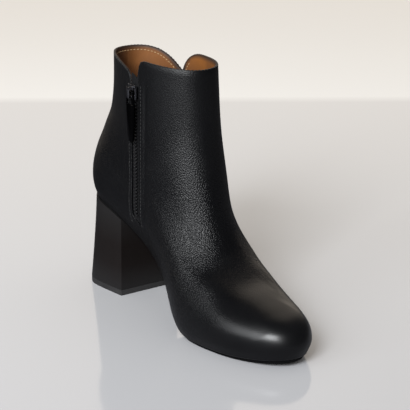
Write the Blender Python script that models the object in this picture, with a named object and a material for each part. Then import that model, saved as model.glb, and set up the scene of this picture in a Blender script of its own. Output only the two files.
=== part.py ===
"""Block heel ankle boot for the left foot, with a zip on its inner side.

The boot stands on its heel tip and forefoot on the plane z = 0. The toe points to -Y, the outer side of the
foot is +X, and the origin is the middle of the bounding box on the floor. Sizes are in millimetres and are
turned to metres where vertices are placed. A station is the distance from the counter's back towards the toe.
"""

import math
from collections import namedtuple

import bmesh
import bpy
from mathutils import Matrix, Vector

MM = 0.001
MEDIAL, LATERAL = -1, 1

# Driving sizes of the last and shaft.
LENGTH = 241.0
BALL_WIDTH = 80.0
COLLAR_HEIGHT = 193.0
WALL = 1.9
GAP = 0.3

# Collar line. Its back falls to a notch on each side, and its front rises to a rounded horn ahead of it. The
# notch is at the top of the zip's slot on the inner side and of a plain seam on the outer side. lead is how far
# the horn's rounding has come at the notch.
Notch = namedtuple("Notch", "station_low station_high width height horn_height lead horn_round")
NOTCHES = {
    MEDIAL: Notch(76.0, 76.0, 10.0, 178.5, 194.5, 3.0, 9.0),
    LATERAL: Notch(68.0, 57.0, 1.2, 173.5, 191.0, 0.6, 20.0),
}
FRONT_HEIGHT = 190.5
BACK_FALL_POWER = 2.0
HORN_POWER = 2.0

# Zip on the inner side: the tape that closes its slot and the chain on the tape. Depths are out of the
# leather's face.
ZIP_SLOT = NOTCHES[MEDIAL].width
ZIP_END_ROW = 7
TAPE_FACE = -0.9
TAPE_THICK = 0.9
TAPE_COLUMNS = 4
TAPE_ROWS = 20
CHAIN_WIDTH = 6.2
CHAIN_BASE = -0.6
CHAIN_VALLEY = 0.2
CHAIN_CREST = 0.9
CHAIN_PITCH = 2.6
CHAIN_RIBS = 39
CHAIN_COLUMNS = 2
CHAIN_TOP = 175.5

# Slider: a plate over the chain with a flange down each side, and a bridge along it for the pull. Places in it
# are across the zip, down along it and out of the leather's face.
SLIDER_HEIGHT = 170.0
SLIDER_WIDTH = 8.8
SLIDER_LENGTH = 11.0
SLIDER_FLOOR = 1.2
SLIDER_PLATE = 1.4
FLANGE_FLOOR = -0.2
FLANGE_THICK = 0.9
BRIDGE_WIDTH = 2.4
BRIDGE_LENGTH = 8.0
BRIDGE_EYE = 2.8
BRIDGE_BAR = 1.1

# Pull tab: a row for each width along it, from its cross bar in the bridge's eye down to its rounded tip.
PullRow = namedtuple("PullRow", "down width")
PULL_ROWS = [
    PullRow(-0.7, 9.0),
    PullRow(0.7, 9.4),
    PullRow(9.2, 10.4),
    PullRow(11.0, 10.4),
    PullRow(23.0, 9.0),
    PullRow(33.0, 7.4),
    PullRow(36.6, 5.6),
    PullRow(38.2, 3.0),
]
PULL_LANES = (-1.0, -0.66, 0.0, 0.66, 1.0)
PULL_EYE_ROW = 1
PULL_THICK = 1.4

# Mesh density of the upper.
COLUMNS_BACK = 10
COLUMNS_FRONT = 20
LAST_COLUMN = COLUMNS_BACK + 1 + COLUMNS_FRONT
ROWS = 26
HALVINGS = 24
MERGE = 1e-7
SHARP_ANGLE = 40.0

# Sole and insole. The sole's edge is set back a little under the upper, and more at its lower corner. At the
# heel seat it is nearly flush.
SOLE_SET_BACK = 1.2
SOLE_TUCK = 1.3
SEAT_SET_BACK = 0.3
SOLE_COLUMNS = 4
SOLE_ROWS = 32
INSOLE_THICK = 2.4
INSOLE_CLEAR = 0.6

# Heel block and its tip, with a row for the outline at its top and at its foot: half width at its fullest and at
# the breast, stations of back and breast, how far the round of the back reaches and how square it is.
HeelOutline = namedtuple("HeelOutline", "half_width half_breast back breast cap power")
HEEL_TOP = HeelOutline(26.7, 25.5, 2.2, 48.6, 24.0, 2.3)
HEEL_FOOT = HeelOutline(27.7, 26.5, -5.5, 48.6, 27.0, 2.7)
HEEL_FLARE = 1.3
HEEL_TIP = 4.4
HEEL_COLUMNS = 4
HEEL_ROWS = 16
HEEL_LEVELS = 7

# One row for each ring of the upper, from the feather edge up to the collar. back and front are stations, as
# shares of the length. back_rise and front_rise are shares of the height from the feather edge to the collar.
# crown is how far the ring falls from its front end to its sides. dip is how much of the sole's curve and bend the
# ring keeps. heel, waist and ball are half widths, as shares of half the ball width. The caps are how far the
# rounding of the ring's ends reaches, as shares of the length.
Ring = namedtuple("Ring", "back back_rise front front_rise crown dip heel waist ball back_cap front_cap front_power")
RINGS = [
    Ring(0.009, 0.000, 0.987, 0.000, 0.0, 1.00, 0.655, 0.575, 0.912, 0.098, 0.390, 2.00),
    Ring(0.004, 0.042, 1.000, 0.041, 0.0, 0.97, 0.705, 0.635, 0.980, 0.102, 0.385, 2.05),
    Ring(0.000, 0.112, 0.988, 0.090, 1.5, 0.90, 0.742, 0.705, 1.000, 0.108, 0.372, 2.05),
    Ring(0.002, 0.194, 0.952, 0.144, 4.5, 0.80, 0.760, 0.770, 0.985, 0.115, 0.380, 2.05),
    Ring(0.009, 0.281, 0.890, 0.187, 6.0, 0.66, 0.755, 0.800, 0.965, 0.125, 0.380, 2.05),
    Ring(0.022, 0.374, 0.812, 0.229, 5.0, 0.50, 0.735, 0.790, 0.880, 0.138, 0.330, 2.05),
    Ring(0.043, 0.472, 0.700, 0.281, 4.0, 0.34, 0.705, 0.775, 0.805, 0.154, 0.290, 2.00),
    Ring(0.064, 0.582, 0.606, 0.378, 2.0, 0.20, 0.685, 0.770, 0.795, 0.174, 0.280, 2.05),
    Ring(0.083, 0.700, 0.559, 0.540, 0.0, 0.09, 0.680, 0.770, 0.818, 0.192, 0.254, 2.05),
    Ring(0.093, 0.846, 0.526, 0.740, 0.0, 0.03, 0.692, 0.755, 0.793, 0.203, 0.222, 2.00),
    Ring(0.098, 1.040, 0.512, 1.030, 0.0, 0.00, 0.715, 0.750, 0.765, 0.208, 0.208, 2.00),
]
WIDTH_STATIONS = (8.0, 28.0, 85.0, 150.0, 190.0)
BALL_SPAN = range(110, 180, 2)
BACK_POWER = 2.2
BALL_SKEW = 5.0

# The foot's lines at stations from back to toe: height of the feather edge (heel seat, arch, tread and toe
# spring), thickness of the outsole, and the sideways bend of the sole's and of the shaft's middle line.
Line = namedtuple("Line", "station feather sole_thick sole_bend shaft_bend")
LINES = [
    Line(-6.0, 81.5, 2.2, -1.5, -1.5),
    Line(20.0, 75.0, 2.2, 0.0, 0.0),
    Line(48.0, 65.5, 2.2, 2.0, 2.0),
    Line(85.0, 43.0, 2.2, 5.2, 4.0),
    Line(112.0, 21.5, 2.3, 4.6, 4.6),
    Line(138.0, 7.2, 2.5, 1.2, 3.8),
    Line(158.0, 3.0, 2.7, 0.4, 3.1),
    Line(190.0, 3.0, 2.7, 0.7, 2.3),
    Line(216.0, 4.3, 2.7, 1.9, 2.6),
    Line(242.0, 7.6, 2.7, 2.5, 2.8),
]


def through(points, x):
    """Height at x of a smooth curve through the points, with no overshoot between them."""
    xs, ys = zip(*points)
    x = min(max(x, xs[0]), xs[-1])
    slopes = [(ys[i + 1] - ys[i]) / (xs[i + 1] - xs[i]) for i in range(len(xs) - 1)]

    def tangent(i):
        if i == 0 or i == len(slopes):
            return slopes[min(i, len(slopes) - 1)]
        before, after = slopes[i - 1], slopes[i]
        return 0.0 if before * after <= 0 else 2 * before * after / (before + after)

    i = max(k for k in range(len(slopes)) if xs[k] <= x)
    step = xs[i + 1] - xs[i]
    t = (x - xs[i]) / step
    return (
        ys[i] * (1 + 2 * t) * (1 - t) ** 2
        + ys[i + 1] * t * t * (3 - 2 * t)
        + step * (tangent(i) * t * (1 - t) ** 2 - tangent(i + 1) * t * t * (1 - t))
    )


def line_at(name, station):
    return through([(line.station, getattr(line, name)) for line in LINES], station)


def ring_at(rise):
    """The ring at a share of the way from feather edge to collar, between the table's rows."""
    rows = range(len(RINGS))
    place = rise * (len(RINGS) - 1)
    return Ring(*(through(list(zip(rows, column)), place) for column in zip(*RINGS)))


FEATHER = RINGS[0]
FEATHER_BACK = FEATHER.back * LENGTH
FEATHER_FRONT = FEATHER.front * LENGTH
SEAT_HEIGHT = line_at("feather", FEATHER_BACK)
TOE_HEIGHT = line_at("feather", FEATHER_FRONT)


def sole_dip(station):
    """How far the feather edge lies under the straight line between its two ends."""
    share = (station - FEATHER_BACK) / (FEATHER_FRONT - FEATHER_BACK)
    return line_at("feather", station) - SEAT_HEIGHT - (TOE_HEIGHT - SEAT_HEIGHT) * share


def rounded_end(distance, reach, power):
    """Share of the full width at a distance from a ring's end, whose rounding reaches so far."""
    share = min(max(distance / reach, 0.0), 1.0)
    return (1 - (1 - share) ** power) ** (1 / power)


def front_share(ring, station):
    """Share of a ring's full width that the rounding of its front leaves."""
    return rounded_end(ring.front * LENGTH - station, ring.front_cap * LENGTH, ring.front_power)


def half_width(ring, station, side):
    """Half width of a ring, level at the heel and at the ball and rounded at both ends."""
    shares = (ring.heel, ring.heel, ring.waist, ring.ball, ring.ball)
    body = through(list(zip(WIDTH_STATIONS, shares)), station + side * BALL_SKEW) * BALL_WIDTH / 2
    back_end = rounded_end(station - ring.back * LENGTH, ring.back_cap * LENGTH, BACK_POWER)
    return body * back_end * front_share(ring, station)


def ring_point(rise, station, side):
    """A point of the upper's outer face: sideways, station and height."""
    ring = ring_at(rise)
    along = (station / LENGTH - ring.back) / (ring.front - ring.back)
    back_height = SEAT_HEIGHT + ring.back_rise * (COLLAR_HEIGHT - SEAT_HEIGHT)
    front_height = TOE_HEIGHT + ring.front_rise * (COLLAR_HEIGHT - TOE_HEIGHT)
    height = back_height + (front_height - back_height) * along + ring.dip * sole_dip(station)
    height -= ring.crown * along * front_share(ring, station) ** 2
    bend = line_at("sole_bend", station) * ring.dip + line_at("shaft_bend", station) * (1 - ring.dip)
    return Vector((bend + side * half_width(ring, station, side), station, height))


def station_at(rise, column, side):
    """Station of a column of the upper. Columns crowd at a ring's ends, and two of them edge the zip's slot."""
    ring = ring_at(rise)
    back, front = ring.back * LENGTH, ring.front * LENGTH
    notch = NOTCHES[side]
    middle = notch.station_low + (notch.station_high - notch.station_low) * rise
    edges = (middle - notch.width / 2, middle + notch.width / 2)
    turns = [math.acos(1 - 2 * (edge - back) / (front - back)) for edge in edges]
    if column <= COLUMNS_BACK:
        turn = turns[0] * column / COLUMNS_BACK
    elif column <= COLUMNS_BACK + 1:
        turn = turns[0] + (turns[1] - turns[0]) * (column - COLUMNS_BACK)
    else:
        turn = turns[1] + (math.pi - turns[1]) * (column - COLUMNS_BACK - 1) / COLUMNS_FRONT
    return back + (front - back) * (1 - math.cos(turn)) / 2


def upper_point(rise, column, side):
    return ring_point(rise, station_at(rise, column, side), side)


def collar_line(station, side):
    """Height of the collar's edge, which falls from the back to the notch and rises to a horn in front of it."""
    notch = NOTCHES[side]
    back, front = RINGS[-1].back * LENGTH, RINGS[-1].front * LENGTH
    lowest = notch.station_high + notch.width / 2
    if station < lowest - GAP:
        fall = max((station - back) / (lowest - back), 0.0) ** BACK_FALL_POWER
        return COLLAR_HEIGHT - (COLLAR_HEIGHT - notch.height) * fall
    ahead = max((station - lowest) / (front - lowest), 0.0)
    horn = notch.horn_height + (FRONT_HEIGHT - notch.horn_height) * ahead
    climb = rounded_end(station - lowest + notch.lead, notch.horn_round, HORN_POWER)
    return notch.height + (horn - notch.height) * climb


def rise_where(column, side, reached):
    """Share of the way up a column of the upper at which a point first counts as reached, found by halving."""
    low, high = 0.0, 1.0
    for _ in range(HALVINGS):
        middle = (low + high) / 2
        if reached(upper_point(middle, column, side)):
            high = middle
        else:
            low = middle
    return high


def collar_rise(column, side):
    """Share of the way up at which a column of the upper meets the collar's edge."""
    return rise_where(column, side, lambda point: point.z >= collar_line(point.y, side))


def outward(rise, column, side):
    """Direction out of the upper's face."""
    step = 0.01
    along = upper_point(rise, column + step, side) - upper_point(rise, column - step, side)
    up = upper_point(rise + step, column, side) - upper_point(rise - step, column, side)
    normal = along.cross(up).normalized()
    return normal if normal.x * side > 0 else -normal


def sole_ring(set_back, seat_set_back):
    """The feather edge's ring, set back all round, by another distance at the heel seat."""
    half_ball = BALL_WIDTH / 2
    return FEATHER._replace(
        back=FEATHER.back + seat_set_back / LENGTH,
        front=FEATHER.front - set_back / LENGTH,
        heel=FEATHER.heel - seat_set_back / half_ball,
        waist=FEATHER.waist - set_back / half_ball,
        ball=FEATHER.ball - set_back / half_ball,
    )


def side_reach(side):
    """Furthest reach of the upper to one side."""
    lower_rows = range(ROWS // 2)
    reaches = [side * ring_point(row / ROWS, station, side).x for row in lower_rows for station in BALL_SPAN]
    return side * max(reaches)


SIDE_CENTRE = (side_reach(MEDIAL) + side_reach(LATERAL)) / 2
MIDDLE_STATION = (HEEL_FOOT.back + LENGTH) / 2


def world(point):
    """A point of the foot, given sideways, by station and height in millimetres, in the boot's own frame."""
    return Vector((point[0] - SIDE_CENTRE, MIDDLE_STATION - point[1], point[2])) * MM


def clear_scene():
    for old in list(bpy.data.objects):
        bpy.data.objects.remove(old)


def finish(name, colour, roughness, metallic=0.0):
    """A plain material for a sub-part."""
    material = bpy.data.materials.new(name)
    material.use_nodes = True
    shader = material.node_tree.nodes["Principled BSDF"]
    shader.inputs["Base Color"].default_value = (*colour, 1.0)
    shader.inputs["Roughness"].default_value = roughness
    shader.inputs["Metallic"].default_value = metallic
    return material


def add_object(name, bm, material):
    """Turns a bmesh to a named object with outward faces, smooth between its sharp edges."""
    bmesh.ops.remove_doubles(bm, verts=bm.verts, dist=MERGE)
    bmesh.ops.recalc_face_normals(bm, faces=bm.faces)
    mesh = bpy.data.meshes.new(name)
    bm.to_mesh(mesh)
    bm.free()
    mesh.materials.append(material)
    mesh.shade_smooth()
    mesh.set_sharp_from_angle(angle=math.radians(SHARP_ANGLE))
    placed = bpy.data.objects.new(name, mesh)
    bpy.context.scene.collection.objects.link(placed)
    return placed


def sheet(columns, rows, place):
    """A grid whose vertex at column i and row j is at place(i, j), and each vertex's column and row."""
    bm = bmesh.new()
    made = bmesh.ops.create_grid(bm, x_segments=columns, y_segments=rows, size=1.0)
    cells = {}
    for vertex in made["verts"]:
        cell = (round((vertex.co.x + 1) / 2 * columns), round((vertex.co.y + 1) / 2 * rows))
        cells[vertex] = cell
        vertex.co = place(*cell)
    return bm, cells


def stacked(columns, rows, levels, place):
    """A solid extruded from a grid through levels, with each vertex at place(i, j, level)."""
    bm, cells = sheet(columns, rows, lambda i, j: Vector((i, j, 0.0)))
    faces = list(bm.faces)
    vertices = {(*cell, 0): vertex for vertex, cell in cells.items()}
    for level in range(1, levels):
        raised = bmesh.ops.extrude_face_region(bm, geom=faces)["geom"]
        if level > 1:
            bmesh.ops.delete(bm, geom=faces, context="FACES")
        faces = [item for item in raised if isinstance(item, bmesh.types.BMFace)]
        for vertex in (item for item in raised if isinstance(item, bmesh.types.BMVert)):
            vertex.co.z = level
            vertices[round(vertex.co.x), round(vertex.co.y), level] = vertex
    for cell, vertex in vertices.items():
        if vertex.is_valid:
            vertex.co = place(*cell)
    return bm


def thicken(placed, thickness):
    """Gives a sheet its thickness, inwards from its face."""
    wall = placed.modifiers.new("wall", "SOLIDIFY")
    wall.thickness = thickness * MM
    wall.offset = -1.0
    wall.use_even_offset = True


def build_upper(leather):
    """The upper: one wall from feather edge to collar, slit on its inner side for the zip."""
    tops = {(i, side): collar_rise(i, side) for side in (MEDIAL, LATERAL) for i in range(LAST_COLUMN + 1)}

    def place(i, j):
        side = MEDIAL if i <= LAST_COLUMN else LATERAL
        column = i if side == MEDIAL else 2 * LAST_COLUMN - i
        return world(upper_point(tops[column, side] * j / ROWS, column, side))

    bm, cells = sheet(2 * LAST_COLUMN, ROWS, place)

    def in_slot(vertex):
        i, j = cells[vertex]
        return i in (COLUMNS_BACK, COLUMNS_BACK + 1) and j >= ZIP_END_ROW

    slot = [face for face in bm.faces if all(in_slot(vertex) for vertex in face.verts)]
    bmesh.ops.delete(bm, geom=slot, context="FACES")
    thicken(add_object("upper", bm, leather), WALL)


def zip_column(across):
    return COLUMNS_BACK + 0.5 + across / ZIP_SLOT


def zip_point(height, across, out):
    """A point on the zip at a height, a distance across from the slot's middle and out of the leather's face."""
    column = zip_column(across)
    rise = rise_where(column, MEDIAL, lambda point: point.z >= height)
    return upper_point(rise, column, MEDIAL) + outward(rise, column, MEDIAL) * out


def build_zip_tape(cloth):
    """The tape, set back in the slot with a gap all round."""
    half = ZIP_SLOT / 2 - GAP
    end_rise = collar_rise(COLUMNS_BACK, MEDIAL) * ZIP_END_ROW / ROWS

    def place(i, j):
        across = half * (2 * i / TAPE_COLUMNS - 1)
        column = zip_column(across)
        low = upper_point(end_rise, column, MEDIAL).z + 2 * GAP
        high = upper_point(collar_rise(column, MEDIAL), column, MEDIAL).z
        return world(zip_point(low + (high - low) * j / TAPE_ROWS, across, TAPE_FACE))

    bm, _ = sheet(TAPE_COLUMNS, TAPE_ROWS, place)
    thicken(add_object("zip_tape", bm, cloth), TAPE_THICK)


def build_zip_teeth(nylon):
    """The closed chain: a strip with a rib for each pair of teeth."""

    def place(i, j, level):
        across = CHAIN_WIDTH * (i / CHAIN_COLUMNS - 0.5)
        face = CHAIN_CREST if j % 2 else CHAIN_VALLEY
        height = CHAIN_TOP - CHAIN_PITCH / 2 * j
        return world(zip_point(height, across, (face, CHAIN_BASE)[level]))

    add_object("zip_teeth", stacked(CHAIN_COLUMNS, 2 * CHAIN_RIBS, 2, place), nylon)


def slider_frame():
    """Turns places in the slider, across, down and out in millimetres, to the boot's own frame."""
    centre = world(zip_point(SLIDER_HEIGHT, 0.0, 0.0))
    above = world(zip_point(SLIDER_HEIGHT + SLIDER_LENGTH / 2, 0.0, 0.0))
    out = (world(zip_point(SLIDER_HEIGHT, 0.0, 1.0)) - centre).normalized()
    along = centre - above
    down = (along - out * along.dot(out)).normalized()
    turn = Matrix((down.cross(out), down, out)).transposed().to_4x4()
    return Matrix.Translation(centre) @ turn @ Matrix.Scale(MM, 4)


def lattice(breaks, filled, frame):
    """A solid of the filled cells of a lattice, with its breaks across, down and out."""
    bm = bmesh.new()
    corners = {}

    def corner(cell):
        if cell not in corners:
            corners[cell] = bm.verts.new(frame @ Vector([axis[k] for axis, k in zip(breaks, cell)]))
        return corners[cell]

    for cell in sorted(filled):
        for axis in range(3):
            for step in (0, 1):
                beside = list(cell)
                beside[axis] += 2 * step - 1
                if tuple(beside) in filled:
                    continue
                ring = []
                for turn in ((0, 0), (1, 0), (1, 1), (0, 1)):
                    at = list(cell)
                    at[axis] += step
                    at[(axis + 1) % 3] += turn[0]
                    at[(axis + 2) % 3] += turn[1]
                    ring.append(corner(tuple(at)))
                bm.faces.new(ring)
    return bm


def build_zip_slider(metal):
    """The slider, one piece of plate, flanges and bridge."""
    top = SLIDER_FLOOR + SLIDER_PLATE
    half, inner, bridge = SLIDER_WIDTH / 2, SLIDER_WIDTH / 2 - FLANGE_THICK, BRIDGE_WIDTH / 2
    end, post, eye = SLIDER_LENGTH / 2, BRIDGE_LENGTH / 2, BRIDGE_LENGTH / 2 - BRIDGE_BAR
    breaks = (
        (-half, -inner, -bridge, bridge, inner, half),
        (-end, -post, -eye, eye, post, end),
        (FLANGE_FLOOR, SLIDER_FLOOR, top, top + BRIDGE_EYE, top + BRIDGE_EYE + BRIDGE_BAR),
    )
    flange_cells, bridge_cell, post_cells = (0, 4), 2, (1, 3)
    filled = {(i, j, 0) for i in flange_cells for j in range(5)}
    filled |= {(i, j, 1) for i in range(5) for j in range(5)}
    filled |= {(bridge_cell, j, 2) for j in post_cells}
    filled |= {(bridge_cell, j, 3) for j in range(post_cells[0], post_cells[1] + 1)}
    add_object("zip_slider", lattice(breaks, filled, slider_frame()), metal)


def build_zip_pull(metal):
    """The pull tab, hanging down from its cross bar in the slider's bridge, with its origin on the bar."""
    frame = slider_frame() @ Matrix.Translation((0.0, 0.0, SLIDER_FLOOR + SLIDER_PLATE + BRIDGE_EYE / 2))
    last_lane = len(PULL_LANES) - 1

    def place(i, j):
        row = PULL_ROWS[j]
        return frame @ Vector((PULL_LANES[i] * row.width / 2, row.down, PULL_THICK / 2))

    bm, cells = sheet(last_lane, len(PULL_ROWS) - 1, place)

    def round_eye(vertex):
        i, j = cells[vertex]
        return 0 < i < last_lane and j in (PULL_EYE_ROW, PULL_EYE_ROW + 1)

    eye = [face for face in bm.faces if all(round_eye(vertex) for vertex in face.verts)]
    bmesh.ops.delete(bm, geom=eye, context="FACES")
    bmesh.ops.translate(bm, vec=-frame.translation, verts=bm.verts)
    pull = add_object("zip_pull", bm, metal)
    pull.location = frame.translation
    thicken(pull, PULL_THICK)


def heel_outline(share, row, side):
    """Sideways place and station on the heel's outline at a share of the height up from the floor."""
    flare = (1 - share) ** HEEL_FLARE
    at = HeelOutline(*(top + (foot - top) * flare for top, foot in zip(HEEL_TOP, HEEL_FOOT)))
    station = at.breast - (at.breast - at.back) * math.sin(math.pi / 2 * row / HEEL_ROWS)
    ahead = (station - at.back) / (at.breast - at.back)
    half = at.half_width + (at.half_breast - at.half_width) * ahead ** 2
    return line_at("sole_bend", station) + side * half * rounded_end(station - at.back, at.cap, at.power), station


def heel_top(station):
    return line_at("feather", station) - 2 * GAP - line_at("sole_thick", station)


def build_heel_block(covering):
    """The heel: a block whose top follows the seat and whose foot flares out, square in front."""

    def place(i, j, level):
        share = 1 - level / (HEEL_LEVELS - 1)
        left = heel_outline(share, j, MEDIAL)
        right = heel_outline(share, j, LATERAL)
        across = i / HEEL_COLUMNS
        side, station = (a + (b - a) * across for a, b in zip(left, right))
        low = HEEL_TIP + GAP
        return world((side, station, low + (heel_top(station) - low) * share))

    add_object("heel", stacked(HEEL_COLUMNS, HEEL_ROWS, HEEL_LEVELS, place), covering)


def build_heel_tip(rubber):
    """The tip under the heel, flat on the floor."""

    def place(i, j, level):
        left = heel_outline(0.0, j, MEDIAL)
        right = heel_outline(0.0, j, LATERAL)
        side, station = (a + (b - a) * i / HEEL_COLUMNS for a, b in zip(left, right))
        return world((side, station, HEEL_TIP * (1 - level)))

    add_object("heel_tip", stacked(HEEL_COLUMNS, HEEL_ROWS, 2, place), rubber)


def sole_place(height, rings):
    """Placing function of a solid of the sole, with a ring and a height along the stations for each level."""

    def place(i, j, level):
        ring = rings[level]
        back, front = ring.back * LENGTH, ring.front * LENGTH
        station = back + (front - back) * (1 - math.cos(math.pi * j / SOLE_ROWS)) / 2
        bend = line_at("sole_bend", station)
        left = bend - half_width(ring, station, MEDIAL)
        right = bend + half_width(ring, station, LATERAL)
        return world((left + (right - left) * i / SOLE_COLUMNS, station, height(station, level)))

    return place


def build_outsole(rubber):
    """The outsole from toe to heel seat, flat under the tread."""
    rings = [sole_ring(SOLE_SET_BACK + tuck, SEAT_SET_BACK) for tuck in (0.0, SOLE_TUCK)]

    def height(station, level):
        return line_at("feather", station) - GAP - level * line_at("sole_thick", station)

    add_object("outsole", stacked(SOLE_COLUMNS, SOLE_ROWS, 2, sole_place(height, rings)), rubber)


def build_insole(board):
    """The insole board inside the upper's lower edge."""
    set_back = WALL + INSOLE_CLEAR
    rings = [sole_ring(set_back, set_back)] * 2

    def height(station, level):
        return line_at("feather", station) + INSOLE_THICK * (1 - level)

    add_object("insole", stacked(SOLE_COLUMNS, SOLE_ROWS, 2, sole_place(height, rings)), board)


def main():
    clear_scene()
    leather = finish("black_leather", (0.02, 0.02, 0.021), 0.45)
    build_upper(leather)
    build_insole(finish("tan_leather", (0.3, 0.12, 0.035), 0.55))
    build_outsole(finish("black_rubber", (0.015, 0.015, 0.015), 0.6))
    build_heel_block(finish("dark_heel", (0.022, 0.016, 0.015), 0.35))
    build_heel_tip(finish("tip_rubber", (0.03, 0.028, 0.028), 0.55))
    build_zip_tape(finish("zip_cloth", (0.012, 0.012, 0.013), 0.8))
    build_zip_teeth(finish("zip_nylon", (0.02, 0.02, 0.022), 0.5))
    build_zip_slider(finish("slider_metal", (0.12, 0.12, 0.125), 0.35, 1.0))
    build_zip_pull(finish("pull_metal", (0.03, 0.03, 0.032), 0.4, 1.0))


main()
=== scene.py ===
"""Block heel ankle boot: leather, lining, stitching, zip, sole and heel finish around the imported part."""
import math
from collections import namedtuple

import bmesh
import bpy
import numpy as np
from bpy.props import FloatProperty, FloatVectorProperty, IntProperty, PointerProperty
from bpy.types import Operator, Panel, PropertyGroup
from mathutils import Matrix, Vector
from mathutils.bvhtree import BVHTree


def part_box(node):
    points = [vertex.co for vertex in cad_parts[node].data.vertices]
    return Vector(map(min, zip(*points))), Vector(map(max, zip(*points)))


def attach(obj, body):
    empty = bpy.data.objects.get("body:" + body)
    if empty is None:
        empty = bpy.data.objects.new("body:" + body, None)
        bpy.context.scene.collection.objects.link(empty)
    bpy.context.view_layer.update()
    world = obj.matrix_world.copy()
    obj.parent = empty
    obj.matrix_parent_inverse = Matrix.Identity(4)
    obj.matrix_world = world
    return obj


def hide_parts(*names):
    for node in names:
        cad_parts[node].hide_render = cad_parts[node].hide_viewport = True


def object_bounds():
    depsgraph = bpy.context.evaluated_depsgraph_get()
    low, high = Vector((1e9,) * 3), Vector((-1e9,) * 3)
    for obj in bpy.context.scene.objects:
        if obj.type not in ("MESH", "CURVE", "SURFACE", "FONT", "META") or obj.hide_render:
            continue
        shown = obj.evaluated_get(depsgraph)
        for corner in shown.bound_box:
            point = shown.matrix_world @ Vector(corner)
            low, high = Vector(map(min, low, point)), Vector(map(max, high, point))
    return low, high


bl_info = {
    "name": "Block heel ankle boot",
    "version": (1, 0, 0),
    "blender": (4, 5, 0),
    "location": "3D View > Sidebar > Boot",
    "description": "Leather upper, lining, stitching, zip, sole and heel of one ankle boot",
    "category": "Object",
}

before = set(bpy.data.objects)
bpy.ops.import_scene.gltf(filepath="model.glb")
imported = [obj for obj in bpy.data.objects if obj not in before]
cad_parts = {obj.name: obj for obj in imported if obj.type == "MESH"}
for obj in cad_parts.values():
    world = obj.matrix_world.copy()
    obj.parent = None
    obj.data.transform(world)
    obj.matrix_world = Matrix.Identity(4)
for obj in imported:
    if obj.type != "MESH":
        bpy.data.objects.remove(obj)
CAD_LOW, CAD_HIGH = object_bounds()
CHAIN_LOW, CHAIN_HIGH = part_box("zip_teeth")
_, TAPE_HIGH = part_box("zip_tape")

MM = 0.001
ZIP_Y = (CHAIN_LOW.y + CHAIN_HIGH.y) / 2
LEATHER, RAW_EDGE, LINING = 0, 1, 2

# Rays that look for the zip's side start clear of the boot's inner side and run to its outer side
RAY_START = CAD_LOW.x - 0.05
RAY_WAY = Vector((1, 0, 0))

# How the copies of the solids are joined, sorted and rounded: angles in degrees
SAME_POINT = 2e-6
WALL_BEND = 55
EDGE_FIRMNESS = 0.55
ROUNDED_BEND = 35
METAL_BEND = 30
METAL_SHARP = 40
METAL_FLAT = 1.0
PIECE_LEVELS = 2

# Soft creases and seams: half width and height in mm, below 0 pressed in, and points in mm to run through
Crease = namedtuple("Crease", "name width depth points")
CREASES = [
    Crease("flex fold", 9.0, -0.25,
           [(-37, -28, 38), (-24, -40, 53), (0, -47, 58), (24, -40, 54), (38, -26, 40)]),
    Crease("instep fold", 9.0, -0.20,
           [(-31, -14, 60), (-18, -29, 70), (0, -36, 74), (18, -29, 70), (31, -12, 62)]),
    Crease("vamp break", 13.0, -1.3,
           [(-29, -60, 36), (-18, -65, 42), (-6, -64, 46), (8, -62, 47), (24, -58, 43)]),
    Crease("toe swell", 13.0, 0.5,
           [(-18, -92, 34), (-4, -96, 35), (8, -96, 35), (18, -90, 34)]),
    Crease("inner counter edge", 5.0, -0.3,
           [(-24, 98, 132), (-28, 80, 116), (-30, 62, 98), (-31, 54, 78)]),
    Crease("outer counter edge", 5.0, -0.3,
           [(24, 98, 132), (29, 78, 118), (32, 55, 98), (33, 36, 74)]),
    Crease("ankle fold", 6.0, -0.4,
           [(-27, 76, 150), (-16, 96, 147), (0, 103, 145), (16, 96, 147), (27, 76, 151)]),
    Crease("ankle swell", 7.0, 0.25,
           [(-27, 74, 136), (-16, 101, 134), (0, 108, 132), (16, 101, 134), (27, 74, 136)]),
]
SEAM_BELOW_ZIP = Crease(
    "seam below the zip", 1.0, -0.5, [(-28, 42, 66), (-29, 41.5, 60), (-30, 41, 52), (-31, 40, 44)])
SIDE_SEAM = Crease(
    "outer side seam", 1.1, -0.5, [(27, 52, 172), (28, 49, 140), (30, 45, 105), (33, 41, 75), (35, 39, 56)])
SEAMS = [SEAM_BELOW_ZIP, SIDE_SEAM]
LINING_SEAMS = [
    Crease("back seam", 0.9, -0.6, [(-1, 92, 191), (-1, 94, 165), (-1, 98, 140), (-1, 105, 115)]),
    Crease("back strip edge", 1.2, 0.3, [(-5, 91, 191), (-5, 93, 165), (-5, 97, 140), (-5, 104, 115)]),
]
NOTCH_Y = SIDE_SEAM.points[0][1] * MM

# Points along a pressed line, and how it fades: it is full after a sixth of its length from each end
CREASE_POINTS = 60
FADE_RATE = 6
FADE_LEAST = 0.05

# Folded leather beside the zip: heights of its ends, and its flat part and edge line in shares of its width
FLANGE_FOOT = (62 * MM, 68 * MM)
FLANGE_HEAD = (170 * MM, 182 * MM)
FLANGE_FLAT = 0.72
FLANGE_LINE_AT = 1.08
FLANGE_LINE_DEPTH = 0.35 * MM
FLANGE_LINE_WIDTH = 0.9 * MM

# Stitches: the zip's rows from foot to head, how finely rows are laid on the leather, and shares of sizes
ZIP_SEWN = (66.5 * MM, 175.5 * MM)
ZIP_ROW_POINTS = 60
SEAM_ROW_POINTS = 40
SEAM_TO_ROW = Vector((0, 2.2 * MM, 0))
LAY_STEP = 0.5 * MM
LINING_INSET = 1.3
STITCH_FLAT = 0.4
STITCH_RISE = 0.1
TOOTH_SHARE = 0.44

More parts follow.
